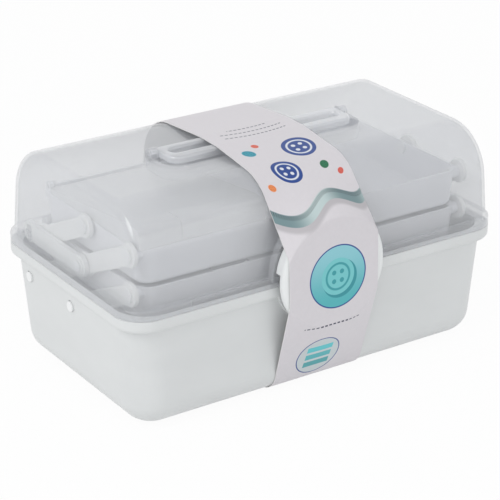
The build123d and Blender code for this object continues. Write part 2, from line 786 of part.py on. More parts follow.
with BuildPart() as strap:
    with BuildSketch(Plane.YZ.offset(strap_x - strap_width / 2)):
        with BuildLine():
            FilletPolyline((tray_front_y - strap_lift, cover_top_z - strap_drop),
                           (tray_front_y - strap_lift, cover_top_z + strap_lift),
                           (tray_front_y + cover_flat, cover_top_z + strap_lift),
                           radius=cover_front_round + strap_lift)
            Line((tray_front_y + cover_flat, cover_top_z + strap_lift),
                 (tray_front_y + cover_flat, cover_top_z - strap_overlap))
            FilletPolyline((tray_front_y + cover_flat, cover_top_z - strap_overlap),
                           (tray_front_y + strap_overlap, cover_top_z - strap_overlap),
                           (tray_front_y + strap_overlap, cover_top_z - strap_drop),
                           radius=cover_front_round - strap_overlap)
            Line((tray_front_y + strap_overlap, cover_top_z - strap_drop),
                 (tray_front_y - strap_lift, cover_top_z - strap_drop))
        make_face()
    extrude(amount=strap_width)

with BuildPart() as compartment_cover:
    add(cover_block(0, 0, cover_front_round))
    add(cover_block(cover_wall, cover_wall, cover_front_round - cover_wall), mode=Mode.SUBTRACT)
    add(strap.part)
    left_eye, right_eye = eye_starts
    lug_starts = (left_eye + cover_eye_width + cover_eye_gap, right_eye - cover_eye_gap - cover_eye_width)
    stub_spans = ((left_eye + cover_eye_gap, lug_starts[0]),
                  (lug_starts[1] + cover_eye_width, right_eye + cover_eye_width - cover_eye_gap))
    for lug, stub in zip(lug_starts, stub_spans):
        with BuildSketch(Plane.YZ.offset(lug)):
            with Locations((cover_axis_y, cover_axis_z)):
                Circle(cover_lug_radius)
                Rectangle(cover_axis_y - cover_rear_y + cover_wall / 2, cover_lug_radius,
                          align=(Align.MAX, Align.MAX))
        extrude(amount=cover_eye_width)
        add(rod_x(*stub, cover_stub_radius, cover_axis_y, cover_axis_z))

export(compartment_cover.part, "compartment_cover")

# Card sleeve: a band of card pulled tight round the closed box, over the handle and the knob
tub_lean_y = (tub_bottom_inset_y - tub_top_inset) / (rim_bottom - foot_height)
card_corner_y = (half_depth - tub_bottom_inset_y
                 - tub_bottom_fillet * ((1 + tub_lean_y ** 2) ** 0.5 - tub_lean_y))
lid_lean = tan(radians(lid_draft))
shoulder_y = (half_depth - lid_inset_y - (lid_top - lid_shoulder_radius - lid_flange_top) * lid_lean
              - lid_shoulder_radius * (1 + lid_lean ** 2) ** 0.5)
shoulder_z = lid_top - lid_shoulder_radius
handle_top_z = handle_axis_z + handle_thickness / 2 - handle_round
bends = [
    (-card_corner_y, foot_height + tub_bottom_fillet, tub_bottom_fillet + card_bottom_gap),
    (card_corner_y, foot_height + tub_bottom_fillet, tub_bottom_fillet + card_bottom_gap),
    (half_depth - rim_round, rim_bottom + rim_round, rim_round + card_gap),
    (half_depth - lid_flange_round, lid_flange_top - lid_flange_round, lid_flange_round + card_gap),
    (shoulder_y, shoulder_z, lid_shoulder_radius + card_gap),
    (-shoulder_y, shoulder_z, lid_shoulder_radius + card_gap),
    (handle_rear_y - handle_round, handle_top_z, handle_round + card_gap),
    (handle_front_y + handle_round, handle_top_z, handle_round + card_gap),
    (knob_face_y + knob_round, knob_z + knob_radius - knob_round, knob_round + card_gap),
    (knob_face_y + knob_round, knob_z - knob_radius + knob_round, knob_round + card_gap),
]


def card_block(grow):
    """Hull round every bend of the card, grown by the card's thickness for its outside."""
    with BuildPart() as block:
        with BuildSketch(Plane.YZ.offset(-sleeve_half_width)) as wrap:
            for y, z, radius in bends:
                with Locations((y, z)):
                    Circle(radius + grow)
            make_hull()
        extrude(amount=2 * sleeve_half_width)
    return block.part


with BuildPart() as card_sleeve:
    add(card_block(card_thickness))
    add(card_block(0), mode=Mode.SUBTRACT)

export(card_sleeve.part, "card_sleeve")
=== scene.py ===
"""Looks of a small cantilever sewing box.

A milky white tub carries a frosted see-through lid. Two trays on swing arms show through the lid,
a white knob sits on the front, a clear loop handle lies in the lid's top, and a printed band of card
runs round the closed box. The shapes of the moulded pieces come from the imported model; this script
makes the band of card and the pivot pins, and gives every piece its finish.
"""
from __future__ import annotations

import logging
import math
from abc import ABC, abstractmethod
from dataclasses import dataclass
from enum import Enum
from typing import Any, ClassVar, Mapping, Sequence

import bmesh
import bpy
from mathutils import Matrix, Vector

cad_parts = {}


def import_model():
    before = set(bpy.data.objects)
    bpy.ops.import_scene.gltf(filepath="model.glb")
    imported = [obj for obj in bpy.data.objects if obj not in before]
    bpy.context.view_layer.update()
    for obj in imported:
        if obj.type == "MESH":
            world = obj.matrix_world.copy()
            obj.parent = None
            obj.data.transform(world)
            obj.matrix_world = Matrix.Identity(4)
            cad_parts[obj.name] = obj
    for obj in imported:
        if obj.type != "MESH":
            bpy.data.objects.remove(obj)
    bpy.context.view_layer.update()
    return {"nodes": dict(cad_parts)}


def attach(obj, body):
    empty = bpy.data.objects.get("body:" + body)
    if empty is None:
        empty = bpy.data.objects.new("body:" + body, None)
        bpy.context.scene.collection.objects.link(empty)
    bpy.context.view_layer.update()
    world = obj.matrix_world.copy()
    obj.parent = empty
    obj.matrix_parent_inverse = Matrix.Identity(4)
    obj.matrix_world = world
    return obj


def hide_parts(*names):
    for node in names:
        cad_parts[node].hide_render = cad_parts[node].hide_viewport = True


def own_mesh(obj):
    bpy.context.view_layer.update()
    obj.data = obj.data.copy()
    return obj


LOG = logging.getLogger("sewing_box")
MM = 0.001
Colour = tuple[float, float, float]
Pair = tuple[float, float]


class Body(str, Enum):
    """Rigid bodies of the box that the pieces made here ride on."""

    BASE = "base"
    LOWER_TRAY = "lower_tray"
    UPPER_TRAY = "upper_tray"


def from_display(red: int, green: int, blue: int) -> Colour:
    """Turns a colour as a screen shows it into the linear values that shaders take.

    Args:
        red: Red, 0 to 255.
        green: Green, 0 to 255.
        blue: Blue, 0 to 255.

    Returns:
        The linear colour.
    """
    def linear(value: int) -> float:
        """Linear value of one channel."""
        share = value / 255
        return share / 12.92 if share <= 0.04045 else ((share + 0.055) / 1.055) ** 2.4

    return linear(red), linear(green), linear(blue)


def rgba(colour: Colour) -> tuple[float, float, float, float]:
    """The colour with full opacity, as a socket takes it."""
    return (*colour, 1.0)


def scaled(colour: Colour, share: float) -> Colour:
    """The colour, darker or lighter by a share."""
    return tuple(min(1.0, channel * share) for channel in colour)


@dataclass(frozen=True)
class Term:
    """A shader value that takes part in Python arithmetic.

    Attributes:
        graph: The graph that the value belongs to.
        socket: The output socket that carries the value.
    """

    graph: "Graph"
    socket: bpy.types.NodeSocket

    def __add__(self, other: "Term | float") -> "Term":
        """Sum."""
        return self.graph.math("ADD", self, other)

    def __radd__(self, other: float) -> "Term":
        """Sum, with the number first."""
        return self.graph.math("ADD", other, self)

    def __sub__(self, other: "Term | float") -> "Term":
        """Difference."""
        return self.graph.math("SUBTRACT", self, other)

    def __rsub__(self, other: float) -> "Term":
        """Difference, with the number first."""
        return self.graph.math("SUBTRACT", other, self)

    def __mul__(self, other: "Term | float") -> "Term":
        """Product."""
        return self.graph.math("MULTIPLY", self, other)

    def __rmul__(self, other: float) -> "Term":
        """Product, with the number first."""
        return self.graph.math("MULTIPLY", other, self)

    def __pow__(self, power: "Term | float") -> "Term":
        """Power."""
        return self.graph.math("POWER", self, power)

    def __abs__(self) -> "Term":
        """Size without its sign."""
        return self.graph.math("ABSOLUTE", self)

    def sine(self) -> "Term":
        """Sine of the value in radians."""
        return self.graph.math("SINE", self)

    def both(self, other: "Term") -> "Term":
        """Mask where both masks hold."""
        return self.graph.math("MINIMUM", self, other)

    def either(self, other: "Term") -> "Term":
        """Mask where one of the masks holds."""
        return self.graph.math("MAXIMUM", self, other)

    def ramp(self, low: float, high: float) -> "Term":
        """Smooth step.

        Args:
            low: Value up to which the step is 0.
            high: Value from which the step is 1.

        Returns:
            The step.
        """
        made = self.graph.node("ShaderNodeMapRange", {"interpolation_type": "SMOOTHSTEP"},
                               {"Value": self, "From Min": low, "From Max": high})
        return Term(self.graph, made.outputs["Result"])

    def within(self, half: float, blur: float) -> "Term":
        """Mask that holds up to half a width on both sides of zero and fades out over the blur."""
        return 1 - abs(self).ramp(half, half + blur)


class Graph:
    """A node graph that is built by one method."""

    def __init__(self, tree: bpy.types.NodeTree) -> None:
        """Starts with an empty tree.

        Args:
            tree: The tree that takes the nodes.
        """
        self.tree = tree
        self.tree.nodes.clear()

    def node(self, kind: str, settings: Mapping[str, Any] | None = None,
             inputs: Mapping[Any, Any] | None = None) -> bpy.types.Node:
        """Adds a node.

        Args:
            kind: The node's type.
            settings: Its properties, which are set first.
            inputs: Values or terms for its sockets, by name or number.

        Returns:
            The new node.
        """
        made = self.tree.nodes.new(kind)
        for key, value in (settings or {}).items():
            setattr(made, key, value)
        for key, value in (inputs or {}).items():
            if isinstance(value, Term):
                self.tree.links.new(value.socket, made.inputs[key])
            else:
                made.inputs[key].default_value = value
        return made

    def term(self, kind: str, output: Any = 0, settings: Mapping[str, Any] | None = None,
             inputs: Mapping[Any, Any] | None = None) -> Term:
        """Adds a node and returns one of its outputs."""
        return Term(self, self.node(kind, settings, inputs).outputs[output])

    def math(self, operation: str, *values: Term | float) -> Term:
        """Adds a Math node."""
        return self.term("ShaderNodeMath", 0, {"operation": operation}, dict(enumerate(values)))

    def mix_shader(self, share: Term, below: Term, above: Term) -> Term:
        """Mixes two shaders; the share belongs to the one above."""
        return self.term("ShaderNodeMixShader", 0, None, {0: share, 1: below, 2: above})

    def background_rays(self) -> Term:
        """Mask of the rays that show the background: camera rays, and glossy and transmission rays.

        Returns:
            1 for these rays, 0 for the rays that carry light.
        """
        rays = self.node("ShaderNodeLightPath").outputs
        seen = Term(self, rays["Is Camera Ray"]).either(Term(self, rays["Is Glossy Ray"]))
        return seen.either(Term(self, rays["Is Transmission Ray"]))


@dataclass(frozen=True)
class Speckle:
    """Soft random pattern on a piece.

    Attributes:
        scale: Cells per metre.
        detail: Layers of finer noise.
        stretch: Scale along each axis.
        roughness: How strong the finer layers are.
    """

    scale: float
    detail: float = 2.0
    stretch: tuple[float, float, float] = (1.0, 1.0, 1.0)
    roughness: float = 0.55


class Paint(Graph):
    """The node graph of one material."""

    def __init__(self, name: str) -> None:
        """Starts an empty material.

        Args:
            name: The material's name.
        """
        self.material = bpy.data.materials.new(name)
        self.material.use_nodes = True
        super().__init__(self.material.node_tree)

    def blend(self, mask: Term, below: Term | Colour, above: Term | Colour) -> Term:
        """Lays one colour over another where a mask holds.

        Args:
            mask: 0 for the colour below, 1 for the one above.
            below: The lower colour.
            above: The upper colour.

        Returns:
            The mixed colour.
        """
        low = below if isinstance(below, Term) else rgba(below)
        high = above if isinstance(above, Term) else rgba(above)
        return self.term("ShaderNodeMix", 2, {"data_type": "RGBA"}, {0: mask, 6: low, 7: high})

    def clouded(self, mask: Term, colour: Colour, dark: float, light: float) -> Term:
        """The colour, varied from a darker share of itself to a lighter one along a mask."""
        return self.blend(mask, scaled(colour, dark), scaled(colour, light))

    def place(self) -> Term:
        """Coordinates on the piece, in metres."""
        return self.term("ShaderNodeTexCoord", "Object")

    def noise(self, speckle: Speckle) -> Term:
        """Soft random pattern.

        Args:
            speckle: The pattern's size and form.

        Returns:
            A value round 0.5.
        """
        where = self.term("ShaderNodeMapping", 0, None, {"Vector": self.place(), "Scale": speckle.stretch})
        return self.term("ShaderNodeTexNoise", "Fac", None,
                         {"Vector": where, "Scale": speckle.scale, "Detail": speckle.detail,
                          "Roughness": speckle.roughness})

    def soft_edges(self, radius: float) -> Term:
        """Normal that rounds sharp edges by a radius in metres."""
        return self.term("ShaderNodeBevel", 0, {"samples": 4}, {"Radius": radius})

    def bump(self, height: Term, strength: float, distance: float, normal: Term | None = None) -> Term:
        """Normal that follows a height.

        Args:
            height: The height.
            strength: Share of the bump that shows.
            distance: What a height of 1 means, in metres.
            normal: The normal that the bump lies on, if it isn't the face's own.

        Returns:
            The normal.
        """
        inputs: dict[str, Any] = {"Height": height, "Strength": strength, "Distance": distance}
        if normal is not None:
            inputs["Normal"] = normal
        return self.term("ShaderNodeBump", 0, None, inputs)

    def surface(self, colour: Term, roughness: Term | float, normal: Term, metal: float = 0.0) -> Term:
        """Shader of a solid surface."""
        return self.term("ShaderNodeBsdfPrincipled", 0, None,
                         {"Base Color": colour, "Metallic": metal, "Roughness": roughness, "Normal": normal})

    def close(self, shader: Term) -> bpy.types.Material:
        """Links the finished shader to the output and returns the material."""
        self.node("ShaderNodeOutputMaterial", None, {"Surface": shader})
        return self.material


class Finish(ABC):
    """A surface finish that can be made into a material.

    Attributes:
        name: The material's name.
    """

    name: str

    @abstractmethod
    def build(self) -> bpy.types.Material:
        """Makes the material."""


@dataclass(frozen=True)
class Moulding:
    """Marks that a mould leaves on plastic.

    Attributes:
        flow: Cloudy flow marks.
        contrast: Part of the flow marks' range over which the colour turns.
        patches: Small patches of unlike gloss.
        patch_gloss: Roughness from the dullest to the shiniest patch.
        pores: Fine surface grain.
        waves: Unevenness below the grain.
        wave_height: Height of the waves, where the grain's is 1.
        depth: Depth of the grain in metres.
    """

    flow: Speckle
    patches: Speckle
    patch_gloss: float
    pores: Speckle
    waves: Speckle
    wave_height: float
    contrast: Pair = (0.3, 0.7)
    depth: float = 0.0004

    def gloss(self, graph: Paint) -> Term:
        """Roughness that the patches add or take."""
        return (graph.noise(self.patches) - 0.5) * self.patch_gloss

    def normal(self, graph: Paint, grain: float, edge: float) -> Term:
        """Normal of the grain and the waves, with softened edges."""
        height = graph.noise(self.pores) + graph.noise(self.waves) * self.wave_height
        return graph.bump(height, grain, self.depth, graph.soft_edges(edge))


@dataclass(frozen=True)
class MouldedPlastic(Finish):
    """Opaque moulded plastic with a faint grain and cloudy flow marks.

    Attributes:
        name: The material's name.
        colour: Main colour.
        roughness: Middle roughness.
        cloud: Share by which the flow marks darken the colour; they lighten it by half of that.
        grain: Strength of the fine surface grain.
        edge: Radius of softened edges in metres.
        flow_gloss: Roughness from the dullest to the shiniest flow mark.
        marks: The marks of the mould.
    """

    name: str
    colour: Colour
    roughness: float
    cloud: float
    grain: float
    edge: float
    flow_gloss: float = 0.12
    marks: Moulding = Moulding(Speckle(14, 3, (1, 1, 2.2)), Speckle(260), 0.1, Speckle(1900),
                               Speckle(30, 1), 2.5)

    def build(self) -> bpy.types.Material:
        """Makes the material.

        Returns:
            The material.
        """
        graph = Paint(self.name)
        flow = graph.noise(self.marks.flow)
        cloud = flow.ramp(*self.marks.contrast)
        colour = graph.clouded(cloud, self.colour, 1 - self.cloud, 1 + self.cloud / 2)
        rough = (flow - 0.5) * self.flow_gloss + self.roughness + self.marks.gloss(graph)
        return graph.close(graph.surface(colour, rough, self.marks.normal(graph, self.grain, self.edge)))


@dataclass(frozen=True)
class SeeThroughPlastic(Finish):
    """Thin see-through plastic: a veil over what lies behind, denser where it is seen edge-on.

    Attributes:
        name: The material's name.
        colour: Colour of the veil.
        veil: Share of the veil where the wall is seen face-on.
        edge_veil: Share that is added where it is seen edge-on.
        veil_power: How late the veil thickens on the way to edge-on.
        shine: Share of the mirror gloss where the wall is seen face-on.
        edge_shine: Share of gloss that is added where it is seen edge-on.
        shine_power: How late the gloss grows on the way to edge-on.
        roughness: Middle roughness of the milk in the wall.
        mirror_share: Roughness of the mirror gloss, as a share of the milk's.
        grain: Strength of the fine surface grain.
        edge: Radius of softened edges in metres.
        lamp_share: Share of the lamps' light that the wall lets through untouched.
        tones: Darkest and lightest share of the colour in the flow marks.
        flow_veil: Veil from the clearest to the milkiest flow mark.
        marks: The marks of the mould.
    """

    name: str
    colour: Colour
    veil: float
    edge_veil: float
    shine: float
    roughness: float
    veil_power: float = 2.0
    edge_shine: float = 0.5
    shine_power: float = 5.0
    mirror_share: float = 0.6
    grain: float = 0.03
    edge: float = 0.0004
    lamp_share: float = 0.7
    tones: Pair = (0.985, 1.01)
    flow_veil: float = 0.04
    marks: Moulding = Moulding(Speckle(11, 3, (1, 1, 1.6)), Speckle(220), 0.08, Speckle(1500),
                               Speckle(26, 1), 3.0)

    def build(self) -> bpy.types.Material:
        """Makes the material.

        Returns:
            The material.
        """
        graph = Paint(self.name)
        flow = graph.noise(self.marks.flow)
        colour = graph.clouded(flow.ramp(*self.marks.contrast), self.colour, *self.tones)
        normal = self.marks.normal(graph, self.grain, self.edge)
        milk = graph.surface(colour, self.marks.gloss(graph) + self.roughness, normal)
        clear = graph.term("ShaderNodeBsdfTransparent", 0, None, {"Color": rgba((1, 1, 1))})
        mirror = graph.term("ShaderNodeBsdfAnisotropic", 0, None,
                            {"Color": rgba((1, 1, 1)), "Roughness": self.roughness * self.mirror_share,
                             "Normal": normal})
        slant = graph.term("ShaderNodeLayerWeight", "Facing", None, {"Blend": 0.5})
        veil = slant ** self.veil_power * self.edge_veil + self.veil + (flow - 0.5) * self.flow_veil
        body = graph.mix_shader(veil, clear, milk)
        glossed = graph.mix_shader(slant ** self.shine_power * self.edge_shine + self.shine, body, mirror)
        lamp_ray = graph.term("ShaderNodeLightPath", "Is Shadow Ray")
        return graph.close(graph.mix_shader(lamp_ray * self.lamp_share, glossed, clear))


@dataclass(frozen=True)
class PlatedSteel(Finish):
    """Zinc plated steel with fine turning marks.

    Attributes:
        name: The material's name.
        colour: Main colour.
        roughness: Middle roughness.
        tones: Darkest and lightest share of the colour in the marks.
        marks: The turning marks.
        mark_gloss: Roughness from the dullest to the shiniest mark.
        relief: Strength of the marks as a relief.
        depth: Depth of the marks in metres.
        edge: Radius of softened edges in metres.
    """

    name: str
    colour: Colour
    roughness: float = 0.34
    tones: Pair = (0.9, 1.08)
    marks: Speckle = Speckle(700, 2, (0.15, 1, 1))
    mark_gloss: float = 0.2
    relief: float = 0.15
    depth: float = 0.0002
    edge: float = 0.0002

    def build(self) -> bpy.types.Material:
        """Makes the material.

        Returns:
            The material.
        """
        graph = Paint(self.name)
        marks = graph.noise(self.marks)
        colour = graph.clouded(marks, self.colour, *self.tones)
        rough = (marks - 0.5) * self.mark_gloss + self.roughness
        normal = graph.bump(marks, self.relief, self.depth, graph.soft_edges(self.edge))
        return graph.close(graph.surface(colour, rough, normal, metal=1.0))


@dataclass(frozen=True)
class PlainCard(Finish):
    """Unprinted inner face and cut edges of the card.

    Attributes:
        name: The material's name.
        colour: Main colour.
        roughness: Roughness all over.
        tones: Darkest and lightest share of the colour in the fibres.
        fibres: The fibres.
        relief: Strength of the fibres as a relief.
        depth: Depth of the fibres in metres.
    """

    name: str
    colour: Colour
    roughness: float = 0.8
    tones: Pair = (0.93, 1.05)
    fibres: Speckle = Speckle(900, 4, (0.3, 1, 1))
    relief: float = 0.12
    depth: float = 0.0002

    def build(self) -> bpy.types.Material:
        """Makes the material.

        Returns:
            The material.
        """
        graph = Paint(self.name)
        fibres = graph.noise(self.fibres)
        colour = graph.clouded(fibres, self.colour, *self.tones)
        normal = graph.bump(fibres, self.relief, self.depth)
        return graph.close(graph.surface(colour, self.roughness, normal))


@dataclass(frozen=True)
class Button:
    """Printed sewing button with a raised rim and four holes.

    Attributes:
        centre: Its place across and along the band, in millimetres.
        radius: Its radius in millimetres.
        fill: Colour of its face.
        detail: Colour of the rim and the holes.
        rim_place: Radius of the rim's middle, as a share of the button's radius, as are the next four.
        rim_half: Half the rim's width.
        rim_blur: Width of the rim's soft edge.
        hole_place: Distance of the holes from both middle lines.
        hole_radius: Radius of the holes.
    """

    centre: Pair
    radius: float
    fill: Colour
    detail: Colour
    rim_place: ClassVar[float] = 0.7
    rim_half: ClassVar[float] = 0.03
    rim_blur: ClassVar[float] = 0.06
    hole_place: ClassVar[float] = 0.24
    hole_radius: ClassVar[float] = 0.13


class Plate:
    """The print in the making: the place on the band in millimetres, and the colours laid so far.

    Attributes:
        blur: Width of the soft edge of what is printed.
    """

    blur: ClassVar[float] = 0.3

    def __init__(self, graph: Paint, across: Term, along: Term, colour: Term) -> None:
        """Starts with the bare card.

        Args:
            graph: The material's graph.
            across: Place across the band.
            along: Place along the band, from the knob's axis.
            colour: Colour of the bare card.
        """
        self.graph = graph
        self.across = across
        self.along = along
        self.colour = colour

    def lay(self, mask: Term, ink: Term | Colour) -> None:
        """Prints an ink where a mask holds."""
        self.colour = self.graph.blend(mask, self.colour, ink)

    def distance(self, centre: Pair) -> Term:
        """Distance from a point."""
        return self.graph.math("SQRT", (self.across - centre[0]) ** 2.0 + (self.along - centre[1]) ** 2.0)

    def disc(self, centre: Pair, radius: float) -> Term:
        """Mask of a filled circle."""
        return 1 - self.distance(centre).ramp(radius - self.blur / 2, radius + self.blur / 2)

    def button(self, button: Button) -> None:
        """Prints a button.

        Args:
            button: The button.
        """
        radius, centre = button.radius, button.centre
        self.lay(self.disc(centre, radius), button.fill)
        rim = self.distance(centre) - radius * button.rim_place
        self.lay(rim.within(radius * button.rim_half, radius * button.rim_blur), button.detail)
        quarter = Plate(self.graph, abs(self.across - centre[0]), abs(self.along - centre[1]), self.colour)
        hole = radius * button.hole_place
        self.lay(quarter.disc((hole, hole), radius * button.hole_radius), button.detail)


@dataclass(frozen=True)
class Ribbon:
    """Printed ribbon that waves across the band, with marks along its edge; sizes in millimetres.

    Attributes:
        height: Height of its middle above the knob's axis.
        rise: Climb for each millimetre to the right.
        wave: Height of the wave.
        pace: Turn of the wave for each millimetre, in radians.
        phase: Turn of the wave in the middle of the band, in radians.
        lag: How far the shading runs ahead of the wave, in radians.
        half: Half its width.
        dark: Darkest colour of the fabric.
        light: Lightest colour of the fabric.
        drop: How far below the ribbon its shadow lies.
        shadow_half: Half the width of the shadow's core.
        shadow_blur: Width of the shadow's soft edge.
        shadow_tone: Share of the card's colour that is left in the shadow.
        mark_pace: Distance from mark to mark.
        mark_place: Height of the marks above the ribbon's middle.
        mark_half: Half the marks' height.
        mark_edge: Distances from halfway between two marks at which a mark starts and is full.
        mark_ink: Colour of the marks.
    """

    height: float = 45.0
    rise: float = 0.1
    wave: float = 5.5
    pace: float = 0.13
    phase: float = 0.9
    lag: float = 1.3
    half: float = 3.9
    dark: Colour = from_display(118, 144, 148)
    light: Colour = from_display(196, 212, 212)
    drop: float = 2.4
    shadow_half: float = 4.2
    shadow_blur: float = 3.3
    shadow_tone: float = 0.72
    mark_pace: float = 1.1
    mark_place: float = 2.2
    mark_half: float = 1.2
    mark_edge: Pair = (0.3, 0.42)
    mark_ink: Colour = from_display(62, 74, 80)

    def lay(self, plate: Plate, card: Colour) -> None:
        """Prints the ribbon and its shadow.

        Args:
            plate: The print in the making.
            card: The card's colour.
        """
        across = plate.across
        middle = (across * self.pace + self.phase).sine() * self.wave + across * self.rise + self.height
        offset = plate.along - middle
        shade = (across * self.pace + self.phase + self.lag).sine().ramp(-1.0, 1.0)
        fabric = plate.graph.blend(shade, self.dark, self.light)
        plate.lay((offset + self.drop).within(self.shadow_half, self.shadow_blur),
                  scaled(card, self.shadow_tone))
        plate.lay(offset.within(self.half, plate.blur), fabric)
        beat = abs(plate.graph.math("PINGPONG", across, self.mark_pace) - self.mark_pace / 2)
        height = (offset - self.mark_place).within(self.mark_half, plate.blur)
        plate.lay(beat.ramp(*self.mark_edge).both(height), self.mark_ink)


@dataclass(frozen=True)
class Stitches:
    """Printed rows of running stitch; sizes in millimetres.

    Attributes:
        rows: Each row's height above the knob's axis and half its length.
        pace: Half the distance from stitch to stitch.
        start: Shift of the first stitch.
        edge: Distances from the middle of a gap at which a stitch starts and is full.
        half: Half the thread's width.
        blur: Width of the thread's soft edge.
        ink: Colour of the thread.
    """

    rows: tuple[Pair, ...] = ((-33.5, 20.0), (120.0, 22.0), (126.0, 22.0), (132.0, 14.0))
    pace: float = 1.5
    start: float = 40.0
    edge: Pair = (0.45, 0.6)
    half: float = 0.35
    blur: float = 0.2
    ink: Colour = from_display(70, 74, 92)

    def lay(self, plate: Plate) -> None:
        """Prints the rows.

        Args:
            plate: The print in the making.
        """
        for height, reach in self.rows:
            dash = plate.graph.math("PINGPONG", plate.across + self.start, self.pace).ramp(*self.edge)
            thread = (plate.along - height).within(self.half, self.blur)
            plate.lay(dash.both(thread.both(plate.across.within(reach, plate.blur))), self.ink)


@dataclass(frozen=True)
class Inset:
    """Printed round inset with a rim; sizes in millimetres.

    Attributes:
        centre: Its place across and along the band.
        rim_radius: Radius of its rim.
        radius: Radius of the field inside the rim.
    """

    centre: Pair
    rim_radius: float
    radius: float

    def lay(self, plate: Plate, rim: Colour, field: Term | Colour) -> Term:
        """Prints the rim and the field.

        Args:
            plate: The print in the making.
            rim: The rim's colour.
            field: The field's colour.

        Returns:
            The mask of the field, for what is printed in it.
        """
        inner = plate.disc(self.centre, self.radius)
        plate.lay(plate.disc(self.centre, self.rim_radius), rim)
        plate.lay(inner, field)
        return inner


@dataclass(frozen=True)
class PrintedCard(Finish):
    """Coated card with a generic sewing print: discs, buttons, a ribbon and a stitched line.

    The band's own map gives the place across it and along it, from the middle of the knob's height.
    Sizes here are in millimetres on that map.

    Attributes:
        name: The material's name.
        card: Colour of the coated card.
        navy: Dark blue of the discs and the outlines.
        teal: Teal of the round insets.
        sky: Lightest colour of the large inset.
        bar_back: Colour behind the bars.
        roughness: Middle roughness.
        fibres: Fibres under the coat.
        contrast: Part of the fibres' range over which the colour turns.
        tones: Darkest and lightest share of the colour in the fibres.
        fibre_gloss: Roughness from the dullest to the shiniest fibre.
        waves: Unevenness of the card.
        wave_height: Height of the waves, where the fibres' is 1.
        relief: Strength of the fibres and the waves as a relief.
        depth: Depth of the fibres in metres.
        large: The large round inset.
        large_button: Radius of the button in it.
        glow: Half the height over which the large inset turns light.
        shadow: Where the button's shadow lies from the inset's centre.
        shadow_radius: Radius of the shadow.
        shadow_ink: Colour of the shadow.
        small: The lower inset, with one bar for each level of the box.
        bar_tones: Shares of the teal in the bars, from the lowest up.
        bar_pitch: Height from bar to bar.
        bar_half: Half the bars' length and half their height.
    """

    name: str
    card: Colour
    navy: Colour
    teal: Colour
    sky: Colour = from_display(146, 208, 218)
    bar_back: Colour = from_display(206, 214, 216)
    roughness: float = 0.42
    fibres: Speckle = Speckle(420, 3)
    contrast: Pair = (0.25, 0.75)
    tones: Pair = (0.985, 1.01)
    fibre_gloss: float = 0.12
    waves: Speckle = Speckle(70)
    wave_height: float = 2.0
    relief: float = 0.08
    depth: float = 0.0003
    large: Inset = Inset((2.5, -3.0), 20.4, 19.6)
    large_button: float = 11.8
    glow: float = 18.0
    shadow: Pair = (1.4, -1.6)
    shadow_radius: float = 12.4
    shadow_ink: Colour = from_display(52, 150, 160)
    small: Inset = Inset((-4.0, -60.0), 15.4, 14.7)
    bar_tones: tuple[float, ...] = (0.8, 1.0, 1.25)
    bar_pitch: float = 6.5
    bar_half: Pair = (9.0, 2.1)

    def build(self) -> bpy.types.Material:
        """Makes the material.

        Returns:
            The material.
        """
        graph = Paint(self.name)
        band = graph.term("ShaderNodeUVMap", 0, {"uv_map": CardSleeve.map_name})
        parts = graph.node("ShaderNodeSeparateXYZ", None, {0: band})
        across, along = (Term(graph, parts.outputs[axis]) * (CardSleeve.map_unit / MM) for axis in (0, 1))
        fibres = graph.noise(self.fibres)
        bare = graph.clouded(fibres.ramp(*self.contrast), self.card, *self.tones)
        plate = Plate(graph, across, along, bare)
        Ribbon().lay(plate, self.card)
        self._large_inset(plate)
        self._small_inset(plate)
        for button in self._buttons():
            plate.button(button)
        Stitches().lay(plate)
        rough = (fibres - 0.5) * self.fibre_gloss + self.roughness
        normal = graph.bump(graph.noise(self.waves) * self.wave_height + fibres, self.relief, self.depth)
        return graph.close(graph.surface(plate.colour, rough, normal))

    def _buttons(self) -> tuple[Button, ...]:
        """The two dark blue discs above the knob, and small loose buttons and beads.

        Returns:
            The buttons, in the order in which they are printed.
        """
        pale = from_display(226, 230, 238)
        return (Button((13.0, 93.0), 11.5, self.navy, pale),
                Button((-9.5, 72.5), 9.2, self.navy, pale),
                Button((-20.0, 96.0), 4.0, from_display(36, 158, 178), from_display(20, 118, 140)),
                Button((-11.5, 104.5), 2.3, from_display(228, 108, 84), from_display(190, 74, 60)),
                Button((16.5, 70.5), 3.0, from_display(24, 118, 78), from_display(12, 84, 56)),
                Button((24.5, 62.0), 2.1, from_display(226, 106, 92), from_display(186, 70, 62)),
                Button((-25.0, 60.5), 2.4, from_display(240, 148, 88), from_display(206, 104, 60)))

    def _large_inset(self, plate: Plate) -> None:
        """Prints the large inset with a teal button in it.

        Args:
            plate: The print in the making.
        """
        centre = self.large.centre
        light = (plate.along - centre[1]).ramp(-self.glow, self.glow)
        inner = self.large.lay(plate, self.navy, plate.graph.blend(light, self.teal, self.sky))
        shadow = plate.disc((centre[0] + self.shadow[0], centre[1] + self.shadow[1]), self.shadow_radius)
        plate.lay(shadow.both(inner), self.shadow_ink)
        plate.button(Button(centre, self.large_button, from_display(120, 205, 208),
                            from_display(58, 158, 166)))

    def _small_inset(self, plate: Plate) -> None:
        """Prints the lower inset with its bars.

        Args:
            plate: The print in the making.
        """
        centre = self.small.centre
        inner = self.small.lay(plate, self.navy, self.bar_back)
        for number, tone in enumerate(self.bar_tones):
            middle = centre[1] + (number - 1) * self.bar_pitch
            bar = (plate.along - middle).within(self.bar_half[1], plate.blur).both(
                (plate.across - centre[0]).within(self.bar_half[0], plate.blur))
            plate.lay(bar.both(inner), scaled(self.teal, tone))


